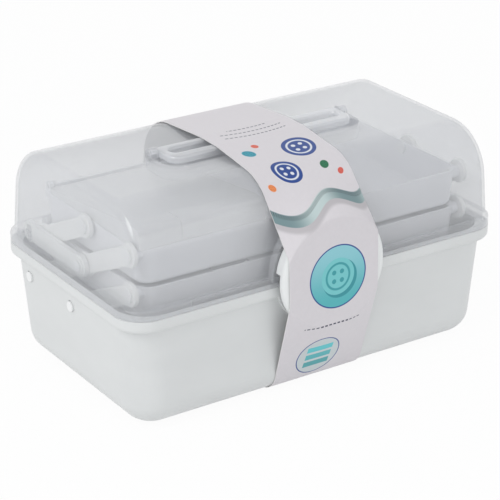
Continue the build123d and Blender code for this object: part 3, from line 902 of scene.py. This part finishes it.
@dataclass(frozen=True)
class StudioFloor(Finish):
    """Pale floor that shows white to the eye and keeps a faint shadow.

    Attributes:
        name: The material's name.
        own_light: Share of plain white that the eye sees in place of the lit floor.
        dark: Darkest grey of the lit floor.
        light: Lightest grey of the lit floor.
        stains: Soft pattern between the two.
    """

    name: str = "studio_floor"
    own_light: float = 0.95
    dark: Colour = (0.92, 0.92, 0.92)
    light: Colour = (0.94, 0.94, 0.94)
    stains: Speckle = Speckle(6)

    def build(self) -> bpy.types.Material:
        """Makes the material.

        Returns:
            The material.
        """
        graph = Paint(self.name)
        tone = graph.blend(graph.noise(self.stains), self.dark, self.light)
        matt = graph.term("ShaderNodeBsdfDiffuse", 0, None, {"Color": tone})
        white = graph.term("ShaderNodeEmission", 0, None, {"Color": rgba((1, 1, 1)), "Strength": 1.0})
        return graph.close(graph.mix_shader(graph.background_rays() * self.own_light, matt, white))


class Finishes:
    """All finishes of the box, made once, and which of the moulded pieces takes which."""

    def __init__(self) -> None:
        """Makes the materials."""
        tub = MouldedPlastic("tub_plastic", from_display(225, 227, 227), roughness=0.42, cloud=0.025,
                             grain=0.06, edge=0.0005).build()
        lid = SeeThroughPlastic("frosted_lid", from_display(223, 225, 229), veil=0.25, edge_veil=0.3,
                                shine=0.04, roughness=0.2).build()
        cover = SeeThroughPlastic("frosted_cover", from_display(244, 245, 246), veil=0.52, edge_veil=0.4,
                                  shine=0.05, roughness=0.2).build()
        divider = SeeThroughPlastic("clear_divider", from_display(230, 234, 236), veil=0.3, edge_veil=0.4,
                                    shine=0.04, roughness=0.22).build()
        handle = SeeThroughPlastic("clear_handle", from_display(236, 238, 242), veil=0.36, edge_veil=0.3,
                                   shine=0.08, roughness=0.08).build()
        tray = MouldedPlastic("tray_plastic", from_display(238, 239, 243), roughness=0.4, cloud=0.02,
                              grain=0.05, edge=0.0004).build()
        self.arm = MouldedPlastic("arm_plastic", from_display(246, 247, 245), roughness=0.36, cloud=0.02,
                                  grain=0.04, edge=0.0003).build()
        self.pin = MouldedPlastic("pin_plastic", from_display(244, 245, 245), roughness=0.34, cloud=0.02,
                                  grain=0.04, edge=0.0002).build()
        knob = MouldedPlastic("knob_plastic", from_display(240, 242, 242), roughness=0.34, cloud=0.015,
                              grain=0.04, edge=0.0006).build()
        steel = PlatedSteel("plated_steel", from_display(186, 188, 192)).build()
        self.print = PrintedCard("printed_card", from_display(222, 218, 222), from_display(24, 66, 142),
                                 from_display(84, 184, 190)).build()
        self.card = PlainCard("plain_card", from_display(232, 230, 230)).build()
        self.looks = {
            "base_tub": tub, "lid_shell": lid, "carry_handle": handle, "latch_dial": knob,
            "latch_cap": knob, "latch_screw": steel, "latch_washer": steel,
            "lid_hinge_pin_left": steel, "lid_hinge_pin_right": steel, "lower_tray": tray,
            "upper_tray": tray, "lower_divider_left": divider, "lower_divider_right": divider,
            "upper_divider": divider, "compartment_cover": cover, "base_pivot_pins": self.pin,
            "lower_tray_pins": self.pin, "upper_tray_pins": self.pin, "card_sleeve": self.card,
        }

    def dress(self, name: str, node: bpy.types.Object) -> None:
        """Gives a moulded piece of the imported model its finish; the arms and links share one.

        Args:
            name: The piece's name in the model.
            node: The piece.
        """
        node.data.materials.clear()
        node.data.materials.append(self.looks.get(name, self.arm))


def add_object(name: str, data: bpy.types.ID) -> bpy.types.Object:
    """Links data into the scene as an object.

    Args:
        name: The object's name.
        data: Its mesh, camera or light.

    Returns:
        The object.
    """
    made = bpy.data.objects.new(name, data)
    bpy.context.scene.collection.objects.link(made)
    return made


def add_piece(name: str, mesh: bpy.types.Mesh, finishes: Sequence[bpy.types.Material]) -> bpy.types.Object:
    """Links a mesh into the scene as a piece at the origin.

    Args:
        name: The piece's name.
        mesh: Its mesh, in place.
        finishes: Its materials, in the order of the faces' slots.

    Returns:
        The piece.
    """
    mesh.name = name
    for finish in finishes:
        mesh.materials.append(finish)
    return add_object(name, mesh)


@dataclass(frozen=True)
class Bend:
    """Round form that the band of card bends over; sizes in millimetres.

    Attributes:
        y: Centre along the box's depth.
        z: Height of the centre; not used on the knob.
        radius: Radius of the band's inner face.
        shift: How far the band sits to the right of the middle there.
        on_knob: 1 at the knob's upper edge, -1 at its lower edge, 0 elsewhere.
    """

    y: float
    z: float
    radius: float
    shift: float = 0.0
    on_knob: int = 0


@dataclass
class CardSleeve:
    """Printed band of card, pulled tight round the closed box, the handle and the knob.

    Attributes:
        half_width: Half the band's width along the box, in metres.
        thickness: Thickness of the card, in metres.
        knob_height: Height of the knob's axis in millimetres, from which the print is measured.
        knob_radius: The knob's radius in millimetres.
        knob_round: Radius of the knob's rounded edge in millimetres.
        knob_margin: How near to the knob's side the band still follows its edge, in millimetres.
        bends: The round forms in order, up the back, over the top and down the front.
        arc_steps: Steps round each bend.
        run_steps: Steps along each straight run.
        columns: Strips across the band.
        crease: Angle in degrees from which an edge stays sharp.
        map_name: Name of the band's map.
        map_unit: Metres on the band for one unit of the map.
    """

    half_width: float = 32.0 * MM
    thickness: float = 0.6 * MM
    knob_height: float = 79.8
    knob_radius: float = 37.0
    knob_round: float = 3.0
    knob_margin: float = 1.0
    bends: tuple[Bend, ...] = (
        Bend(57.43, 17.0, 16.2), Bend(76.7, 70.1, 3.2), Bend(78.0, 80.4, 1.9, -0.4),
        Bend(42.61, 107.6, 31.4, -1.2), Bend(4.85, 140.3, 2.2, -2.8), Bend(-13.75, 140.3, 2.2, -3.3),
        Bend(-42.61, 107.6, 31.4, -4.0), Bend(-85.0, 0.0, 3.4, -1.4, 1), Bend(-85.0, 0.0, 3.4, -0.6, -1),
        Bend(-57.43, 17.0, 16.2))
    arc_steps: int = 10
    run_steps: int = 6
    columns: int = 16
    crease: float = 40.0
    map_name: ClassVar[str] = "band"
    map_unit: ClassVar[float] = 0.1

    def circle(self, bend: Bend, across: float) -> tuple[float, float, float]:
        """Centre and radius of a bend under one line of the band.

        Args:
            bend: The bend.
            across: The line's place across the band, in metres.

        Returns:
            The centre's place along the depth, its height, and the radius, in metres.
        """
        height = bend.z
        if bend.on_knob:
            reach = min(abs(across / MM + bend.shift), self.knob_radius - self.knob_margin)
            height = self.knob_height + bend.on_knob * (
                math.sqrt(self.knob_radius ** 2 - reach ** 2) - self.knob_round)
        return bend.y * MM, height * MM, bend.radius * MM

    def line(self, across: float) -> list[tuple[Vector, Vector]]:
        """Line of the band's inner face round the box.

        Args:
            across: The line's place across the band, in metres.

        Returns:
            Points with their outward directions: the arc of each bend, then the run to the next.
        """
        circles = [self.circle(bend, across) for bend in self.bends]
        count = len(circles)
        leave: list[float] = []
        for number, (y, z, radius) in enumerate(circles):
            next_y, next_z, next_radius = circles[(number + 1) % count]
            way = math.atan2(next_z - z, next_y - y)
            leave.append(way - math.acos((radius - next_radius) / math.hypot(next_y - y, next_z - z)))
        points: list[tuple[Vector, Vector]] = []
        for number, (y, z, radius) in enumerate(circles):
            start = leave[number - 1]
            turn = (leave[number] - start) % (2 * math.pi)
            aside = across + self.bends[number].shift * MM
            for step in range(self.arc_steps + 1):
                angle = start + turn * step / self.arc_steps
                out = Vector((0.0, math.cos(angle), math.sin(angle)))
                points.append((Vector((aside, y, z)) + out * radius, out))
            here, out = points[-1]
            following = (number + 1) % count
            next_y, next_z, next_radius = circles[following]
            next_aside = across + self.bends[following].shift * MM
            far = Vector((next_aside, next_y, next_z)) + out * next_radius
            points.extend((here.lerp(far, step / self.run_steps), out) for step in range(1, self.run_steps))
        return points

    def print_heights(self, lines: Sequence[Sequence[tuple[Vector, Vector]]]) -> list[list[float]]:
        """Place of every point along the print, which is true to height on the knob's face.

        Args:
            lines: The band's lines, from the left to the right.

        Returns:
            For each line, metres above the knob's axis, with the first point again at the end.
        """
        count = len(lines[0])
        on_knob = next(number for number, bend in enumerate(self.bends) if bend.on_knob == 1)
        face_start = on_knob * (self.arc_steps + self.run_steps) + self.arc_steps
        heights: list[list[float]] = []
        for points in lines:
            lengths = [0.0]
            for number in range(count):
                step = points[(number + 1) % count][0] - points[number][0]
                lengths.append(lengths[-1] + step.length)
            zero = lengths[face_start] + points[face_start][0].z - self.knob_height * MM
            heights.append([zero - length for length in lengths])
        return heights

    def build(self, finishes: Finishes) -> bpy.types.Object:
        """Makes the band.

        Args:
            finishes: The box's materials.

        Returns:
            The piece, riding on the base.
        """
        places = [self.half_width * (2 * i / self.columns - 1) for i in range(self.columns + 1)]
        lines = [self.line(place) for place in places]
        along = self.print_heights(lines)
        shell = bmesh.new()
        uv = shell.loops.layers.uv.new(self.map_name)
        inner, outer = ([[shell.verts.new(point + out * lift) for point, out in points] for points in lines]
                        for lift in (0.0, self.thickness))

        def face(corners: Sequence[tuple[Any, int, int]], slot: int) -> None:
            """Adds one face.

            Args:
                corners: Verts with their column and their step on the print.
                slot: 0 for the printed side, 1 for plain card.
            """
            made = shell.faces.new([corner[0] for corner in corners])
            made.material_index = slot
            made.smooth = True
            for loop, (_, column, step) in zip(made.loops, corners):
                loop[uv].uv = (places[column] / self.map_unit, along[column][step] / self.map_unit)

        count = len(lines[0])
        for i in range(count):
            j = (i + 1) % count
            for k in range(self.columns):
                m = k + 1
                face(((outer[k][i], k, i), (outer[m][i], m, i), (outer[m][j], m, i + 1),
                      (outer[k][j], k, i + 1)), 0)
                face(((inner[k][i], k, i), (inner[k][j], k, i + 1), (inner[m][j], m, i + 1),
                      (inner[m][i], m, i)), 1)
            for k, turn in ((0, 1), (self.columns, -1)):
                ring = ((inner[k][i], k, i), (outer[k][i], k, i), (outer[k][j], k, i + 1),
                        (inner[k][j], k, i + 1))
                face(ring[::turn], 1)
        bmesh.ops.recalc_face_normals(shell, faces=shell.faces)
        mesh = bpy.data.meshes.new("card_band")
        shell.to_mesh(mesh)
        shell.free()
        mesh.set_sharp_from_angle(angle=math.radians(self.crease))
        piece = add_piece("card_band", mesh, (finishes.print, finishes.card))
        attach(piece, Body.BASE.value)
        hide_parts("card_sleeve")
        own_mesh(piece)
        return piece


@dataclass(frozen=True)
class PinPlace:
    """One pivot pin on both ends of the box; distances in millimetres from the middle.

    Attributes:
        y: Place along the depth.
        z: Height.
        inner: Where the inner head starts.
        seat: Where the inner head ends and the shank starts.
        outer: Where the outer head starts.
        inner_radius: The inner head's radius.
        outer_radius: The outer head's radius.
        outer_height: The outer head's height.
    """

    y: float
    z: float
    inner: float
    seat: float
    outer: float
    inner_radius: float
    outer_radius: float
    outer_height: float


@dataclass
class PivotPins:
    """Turned pivot pins of the swing arms, with crowned heads.

    Attributes:
        shank_radius: The pins' radius in millimetres.
        facets: Facets round each pin.
        crown_steps: Steps from the head's edge to its top.
        crown: How round the heads are: 1 for a dome, less for a flatter button.
        flat: Share of the crown's turn that is left flat at the top.
        crease: Angle in degrees from which an edge stays sharp.
        base_pins: Pins through the tub's end walls.
        lower_pins: Pins of the lower tray.
        upper_pins: Pins of the upper tray.
        attributes: The attributes that the node tree reads, with their types.
    """

    shank_radius: float = 2.4
    facets: int = 36
    crown_steps: int = 9
    crown: float = 0.5
    flat: float = 0.04
    crease: float = 35.0
    base_pins: tuple[PinPlace, ...] = (
        PinPlace(48.0, 58.0, 117.0, 118.05, 130.688, 4.6, 3.2, 1.6),
        PinPlace(-3.0, 58.0, 117.0, 118.05, 130.688, 4.6, 3.2, 1.6))
    lower_pins: tuple[PinPlace, ...] = (
        PinPlace(48.0, 82.5, 112.0, 113.0, 121.35, 3.5, 4.6, 0.4),
        PinPlace(-3.0, 82.5, 113.6, 114.6, 125.65, 3.5, 3.6, 1.1),
        PinPlace(-54.0, 82.5, 111.0, 112.0, 121.35, 3.5, 4.6, 1.2))
    upper_pins: tuple[PinPlace, ...] = (
        PinPlace(-3.0, 107.0, 113.6, 114.6, 121.35, 3.5, 4.6, 1.2),
        PinPlace(-54.0, 107.0, 111.0, 112.0, 121.35, 3.5, 4.6, 1.2))
    attributes: ClassVar[dict[str, str]] = {"size": "FLOAT_VECTOR", "turn": "FLOAT", "head": "BOOLEAN"}

    def tree(self) -> bpy.types.NodeTree:
        """Makes the node tree that turns places into pins.

        Each vertex that comes in is one shank or head. Its attribute "size" holds its length and
        radius, "turn" its angle about the upright, and "head" tells heads from shanks.

        Returns:
            The tree, with its sizes as named inputs.
        """
        tree = bpy.data.node_groups.new("turned_pins", "GeometryNodeTree")
        graph = Graph(tree)
        inputs = {"Places": "NodeSocketGeometry", "Facets": "NodeSocketInt", "Crown Steps": "NodeSocketInt",
                  "Crown": "NodeSocketFloat", "Flat": "NodeSocketFloat", "Finish": "NodeSocketMaterial"}
        for name, kind in inputs.items():
            tree.interface.new_socket(name, in_out="INPUT", socket_type=kind)
        tree.interface.new_socket("Pins", in_out="OUTPUT", socket_type="NodeSocketGeometry")
        given = graph.node("NodeGroupInput")
        take = {name: Term(graph, given.outputs[name]) for name in inputs}
        size, turn, is_head = (
            graph.term("GeometryNodeInputNamedAttribute", 0, {"data_type": kind}, {"Name": name})
            for name, kind in self.attributes.items())

        def turned(points: Term | int, length: Term, radius: Term | float) -> Term:
            """A round piece along X, one long and with a radius of about one.

            Args:
                points: Number of its points.
                length: Place of each point.
                radius: Radius at each point.

            Returns:
                The piece, with closed ends.
            """
            axis = graph.term("GeometryNodeCurvePrimitiveLine", 0, None,
                              {"Start": (0, 0, 0), "End": (1, 0, 0)})
            axis = graph.term("GeometryNodeResampleCurve", 0, None, {"Curve": axis, "Count": points})
            where = graph.term("ShaderNodeCombineXYZ", 0, None, {"X": length})
            axis = graph.term("GeometryNodeSetPosition", 0, None, {"Geometry": axis, "Position": where})
            axis = graph.term("GeometryNodeSetCurveRadius", 0, None, {"Curve": axis, "Radius": radius})
            ring = graph.term("GeometryNodeCurvePrimitiveCircle", 0, None,
                              {"Resolution": take["Facets"], "Radius": 1.0})
            return graph.term("GeometryNodeCurveToMesh", 0, None,
                              {"Curve": axis, "Profile Curve": ring, "Fill Caps": True})

        step = graph.term("GeometryNodeSplineParameter", "Factor")
        angle = step * (1 - take["Flat"]) * (math.pi / 2)
        rise = angle.sine() ** take["Crown"]
        narrow = graph.math("COSINE", angle) ** take["Crown"]
        head = turned(take["Crown Steps"], rise, narrow)
        shank = turned(2, step, 1.0)
        not_head = graph.term("FunctionNodeBooleanMath", 0, {"operation": "NOT"}, {0: is_head})
        rotation = graph.term("ShaderNodeCombineXYZ", 0, None, {"Z": turn})
        joined = graph.node("GeometryNodeJoinGeometry")
        for chosen, shape in ((is_head, head), (not_head, shank)):
            piece = graph.term("GeometryNodeInstanceOnPoints", 0, None,
                               {"Points": take["Places"], "Selection": chosen, "Instance": shape,
                                "Rotation": rotation, "Scale": size})
            tree.links.new(piece.socket, joined.inputs[0])
        whole = graph.term("GeometryNodeRealizeInstances", 0, None,
                           {"Geometry": Term(graph, joined.outputs[0])})
        dressed = graph.term("GeometryNodeSetMaterial", 0, None,
                             {"Geometry": whole, "Material": take["Finish"]})
        graph.node("NodeGroupOutput", None, {"Pins": dressed})
        return tree

    def places(self, pins: Sequence[PinPlace]) -> bpy.types.Mesh:
        """Vertices for the heads and shanks of the pins on both ends.

        Args:
            pins: The pins of one body.

        Returns:
            A mesh of loose vertices with the attributes that the tree reads.
        """
        rows: list[tuple[Vector, Vector, float, bool]] = []
        for pin in pins:
            for side, turn in ((1, 0.0), (-1, math.pi)):
                spans = ((pin.seat, pin.inner - pin.seat, pin.inner_radius, True),
                         (pin.seat, pin.outer - pin.seat, self.shank_radius, False),
                         (pin.outer, pin.outer_height, pin.outer_radius, True))
                for start, reach, radius, is_head in spans:
                    way = turn if reach > 0 else turn + math.pi
                    rows.append((Vector((side * start, pin.y, pin.z)) * MM,
                                 Vector((abs(reach), radius, radius)) * MM, way, is_head))
        mesh = bpy.data.meshes.new("pin_places")
        mesh.from_pydata([row[0] for row in rows], [], [])
        for name, kind in self.attributes.items():
            mesh.attributes.new(name, kind, "POINT")
        mesh.attributes["size"].data.foreach_set("vector", [value for row in rows for value in row[1]])
        mesh.attributes["turn"].data.foreach_set("value", [row[2] for row in rows])
        mesh.attributes["head"].data.foreach_set("value", [row[3] for row in rows])
        return mesh

    def turn_out(self, pins: Sequence[PinPlace], tree: bpy.types.NodeTree,
                 finish: bpy.types.Material) -> bpy.types.Mesh:
        """Runs the node tree on some pins and keeps the result as a plain mesh.

        Args:
            pins: The pins of one body.
            tree: The node tree.
            finish: The pins' material.

        Returns:
            The mesh, without the attributes that only the tree needs.
        """
        sizes = {"Facets": self.facets, "Crown Steps": self.crown_steps, "Crown": self.crown,
                 "Flat": self.flat, "Finish": finish}
        seed = add_object("pin_places", self.places(pins))
        maker = seed.modifiers.new("turned_pins", "NODES")
        maker.node_group = tree
        for socket in tree.interface.items_tree:
            if socket.item_type == "SOCKET" and socket.name in sizes:
                maker[socket.identifier] = sizes[socket.name]
        made = seed.evaluated_get(bpy.context.evaluated_depsgraph_get())
        mesh = bpy.data.meshes.new_from_object(made)
        seed.modifiers.remove(maker)
        bpy.data.objects.remove(seed)
        for name in self.attributes:
            if name in mesh.attributes:
                mesh.attributes.remove(mesh.attributes[name])
        mesh.materials.clear()
        return mesh

    def build(self, finish: bpy.types.Material) -> list[bpy.types.Object]:
        """Makes the pins of the tub and of the two trays.

        Args:
            finish: The pins' material.

        Returns:
            One piece for each body.
        """
        tree = self.tree()
        pieces: list[bpy.types.Object] = []
        for name, body, node, pins in (
                ("tub_pins", Body.BASE, "base_pivot_pins", self.base_pins),
                ("lower_pins", Body.LOWER_TRAY, "lower_tray_pins", self.lower_pins),
                ("upper_pins", Body.UPPER_TRAY, "upper_tray_pins", self.upper_pins)):
            mesh = self.turn_out(pins, tree, finish)
            shell = bmesh.new()
            shell.from_mesh(mesh)
            bmesh.ops.recalc_face_normals(shell, faces=shell.faces)
            for face in shell.faces:
                face.smooth = True
            shell.to_mesh(mesh)
            shell.free()
            mesh.set_sharp_from_angle(angle=math.radians(self.crease))
            piece = add_piece(name, mesh, (finish,))
            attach(piece, body.value)
            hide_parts(node)
            pieces.append(piece)
        return pieces


@dataclass(frozen=True)
class Lamp:
    """Soft square lamp; lengths in metres.

    Attributes:
        name: The lamp's name.
        place: Where it hangs.
        side: Its side.
        power: Its power in watts.
        aim: The point that it faces.
    """

    name: str
    place: tuple[float, float, float]
    side: float
    power: float
    aim: tuple[float, float, float] = (0.0, 0.0, 0.06)

    def build(self) -> bpy.types.Object:
        """Hangs the lamp.

        Returns:
            The lamp.
        """
        data = bpy.data.lights.new(self.name, "AREA")
        data.size = self.side
        data.energy = self.power
        lamp = add_object(self.name, data)
        lamp.location = self.place
        lamp.rotation_mode = "QUATERNION"
        lamp.rotation_quaternion = (Vector(self.aim) - Vector(self.place)).to_track_quat("-Z", "Y")
        return lamp


@dataclass
class Studio:
    """Camera, lamps, floor and world.

    Attributes:
        azimuth: Camera's direction round the box in degrees.
        elevation: Camera's height above the horizon in degrees.
        roll: Camera's turn about its own axis in degrees.
        distance: Distance from the target in metres.
        target: Pair that the camera looks at.
        lens: Focal length in millimetres.
        sensor: Width of the camera's sensor in millimetres.
        clip: Nearest and farthest distance that the camera shows, in metres.
        lamps: The lamps.
        sky: Colour of the world as light.
        sky_strength: Strength of the world as light.
        floor_reach: Half the floor's side in metres.
    """

    azimuth: float = -33.888
    elevation: float = 23.732
    roll: float = 0.17
    distance: float = 1.241245
    target: tuple[float, float, float] = (0.007399, 0.01302, 0.054909)
    lens: float = 140.511
    sensor: float = 36.0
    clip: Pair = (0.05, 50.0)
    lamps: tuple[Lamp, ...] = (
        Lamp("key_lamp", (-1.35, -0.3, 1.2), side=0.9, power=7.4),
        Lamp("front_lamp", (0.5, -1.65, 0.65), side=1.1, power=2.3))
    sky: Colour = (0.98, 0.99, 1.0)
    sky_strength: float = 0.72
    floor_reach: float = 6.0

    def camera(self) -> bpy.types.Object:
        """Sets up the camera at the photograph's angle.

        Returns:
            The camera.
        """
        turn, rise, tilt = (math.radians(angle) for angle in (self.azimuth, self.elevation, self.roll))
        back = Vector((math.sin(turn) * math.cos(rise), -math.cos(turn) * math.cos(rise), math.sin(rise)))
        right = Vector((0, 0, 1)).cross(back).normalized()
        up = back.cross(right)
        tilted_right = right * math.cos(tilt) + up * math.sin(tilt)
        tilted_up = up * math.cos(tilt) - right * math.sin(tilt)
        data = bpy.data.cameras.new("studio_camera")
        data.lens = self.lens
        data.sensor_width = self.sensor
        data.clip_start, data.clip_end = self.clip
        camera = add_object("studio_camera", data)
        camera.matrix_world = Matrix.Translation(Vector(self.target) + back * self.distance) @ Matrix(
            (tilted_right, tilted_up, back)).transposed().to_4x4()
        bpy.context.scene.camera = camera
        return camera

    def world(self) -> None:
        """Makes the world: white to the eye and in reflections, a softer white as light."""
        world = bpy.data.worlds.new("studio_world")
        world.use_nodes = True
        graph = Graph(world.node_tree)
        soft = graph.term("ShaderNodeBackground", 0, None,
                          {"Color": rgba(self.sky), "Strength": self.sky_strength})
        white = graph.term("ShaderNodeBackground", 0, None, {"Color": rgba((1, 1, 1)), "Strength": 1.0})
        mixed = graph.mix_shader(graph.background_rays(), soft, white)
        graph.node("ShaderNodeOutputWorld", None, {"Surface": mixed})
        bpy.context.scene.world = world

    def floor(self) -> bpy.types.Object:
        """Lays the pale floor under the box.

        Returns:
            The floor.
        """
        sheet = bmesh.new()
        bmesh.ops.create_grid(sheet, x_segments=1, y_segments=1, size=self.floor_reach)
        mesh = bpy.data.meshes.new("studio_floor")
        sheet.to_mesh(mesh)
        sheet.free()
        floor = add_piece("studio_floor", mesh, (StudioFloor().build(),))
        return floor

    def build(self) -> None:
        """Sets up the whole studio."""
        self.camera()
        self.world()
        self.floor()
        for lamp in self.lamps:
            lamp.build()
        bpy.context.scene.view_settings.view_transform = "Standard"
        LOG.info("studio ready")


def main() -> None:
    """Builds the box in order."""
    logging.basicConfig(level=logging.INFO, format="%(name)s: %(message)s")
    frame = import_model()
    Studio().build()
    finishes = Finishes()
    for name, node in frame["nodes"].items():
        finishes.dress(name, node)
        LOG.info("dressed %s", name)
    for piece in (CardSleeve().build(finishes), *PivotPins().build(finishes.pin)):
        LOG.info("made %s", piece.name)


if __name__ == "__main__":
    main()
